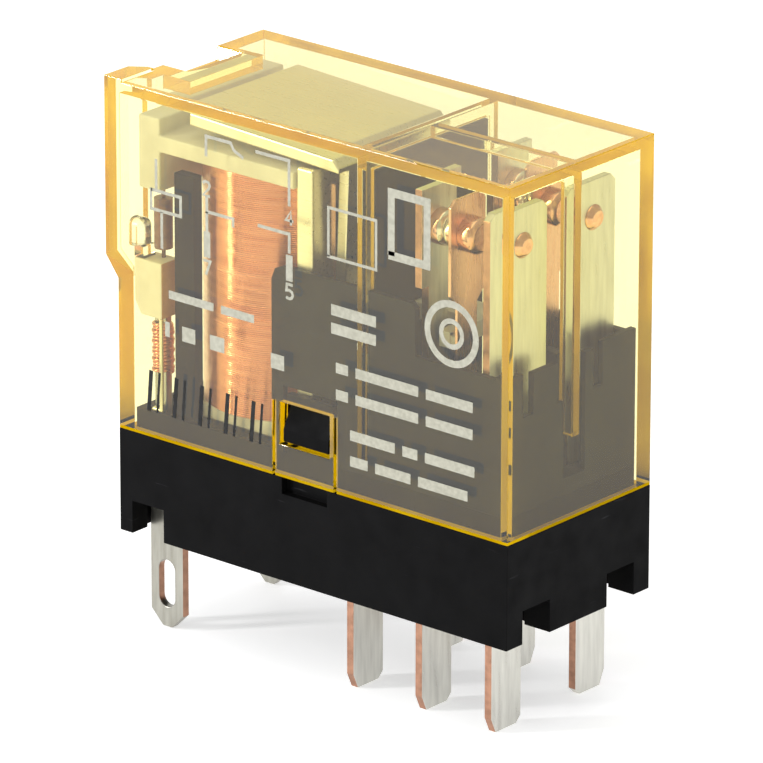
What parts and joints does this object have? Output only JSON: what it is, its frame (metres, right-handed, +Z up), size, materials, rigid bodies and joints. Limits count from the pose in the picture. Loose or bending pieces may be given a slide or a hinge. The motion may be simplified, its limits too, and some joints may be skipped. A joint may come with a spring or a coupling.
{
  "type": "plug-in relay",
  "caption": "Slim plug-in relay: clear amber-tinted cover on a black base, coil, hinged armature and changeover contacts inside, flat blades below.",
  "frame": {"origin": "middle of the base's flat underside, which seats on the socket", "axes": "+Z up out of the socket, +X along the long side towards the contacts, coil at -X"},
  "size_m": [0.0299, 0.0126, 0.0335],
  "materials": {
    "clear_cover": "clear polycarbonate with a pale amber tint that deepens along the edges",
    "base_black": "black glass-filled moulding, lightly scuffed",
    "housing_black": "black moulding, smooth",
    "bobbin_ivory": "ivory moulding",
    "copper_winding": "enamelled copper wire, fine close turns",
    "magnet_steel": "nickel-plated soft iron",
    "tinned_blade": "tin-plated copper alloy with copper cut edges",
    "spring_copper": "bare copper-alloy leaf",
    "contact_alloy": "silver-alloy button on a copper rivet",
    "lamp_clear": "clear lamp lens",
    "resistor_tan": "lacquered ceramic body",
    "tinned_wire": "tinned copper wire"
  },
  "bodies": {
    "frame": {"cover": "clear_cover", "base": "base_black", "contact_housing": "housing_black", "bobbin": "bobbin_ivory", "coil_winding": "copper_winding", "iron_core": "magnet_steel", "yoke": "magnet_steel", "hinge_spring": "spring_copper", "led_holder": "bobbin_ivory", "indicator_led": "lamp_clear", "led_resistor": "resistor_tan", "led_lead": "tinned_wire", "nc_terminal_1": "tinned_blade", "com_terminal_1": "tinned_blade", "no_terminal_1": "tinned_blade", "coil_terminal_1": "tinned_blade", "nc_contact_1": "contact_alloy", "no_contact_1": "contact_alloy", "coil_lead_1": "copper_winding", "nc_terminal_2": "tinned_blade", "com_terminal_2": "tinned_blade", "no_terminal_2": "tinned_blade", "coil_terminal_2": "tinned_blade", "nc_contact_2": "contact_alloy", "no_contact_2": "contact_alloy", "coil_lead_2": "copper_winding"},
    "armature": {"armature": "magnet_steel"},
    "actuator_card": {"actuator_card": "bobbin_ivory"},
    "moving_leaf_1": {"moving_spring_1": "spring_copper", "moving_contact_1": "contact_alloy"},
    "moving_leaf_2": {"moving_spring_2": "spring_copper", "moving_contact_2": "contact_alloy"}
  },
  "joints": [
    {"name": "armature_pivot", "type": "hinge", "parent": "frame", "child": "armature", "pos_m": [-0.00059, 0, 0.02475], "axis": [0, -1, 0], "range_deg": [0, 2.4], "stiffness_Nm_per_rad": 0.04},
    {"name": "card_slide", "type": "slide", "parent": "frame", "child": "actuator_card", "axis": [1, 0, 0], "range_m": [0, 0.00036]},
    {"name": "leaf_bend_1", "type": "hinge", "parent": "frame", "child": "moving_leaf_1", "pos_m": [0.0091, -0.0031, 0.01], "axis": [0, 1, 0], "range_deg": [0, 3.14]},
    {"name": "leaf_bend_2", "type": "hinge", "parent": "frame", "child": "moving_leaf_2", "pos_m": [0.0091, 0.0031, 0.01], "axis": [0, 1, 0], "range_deg": [0, 3.14]}
  ],
  "couplings": [
    {"joint": "card_slide", "follows": "armature_pivot", "m_per_rad": 0.0084862},
    {"joint": "leaf_bend_1", "follows": "armature_pivot", "ratio": 1.3056},
    {"joint": "leaf_bend_2", "follows": "armature_pivot", "ratio": 1.3056}
  ]
}
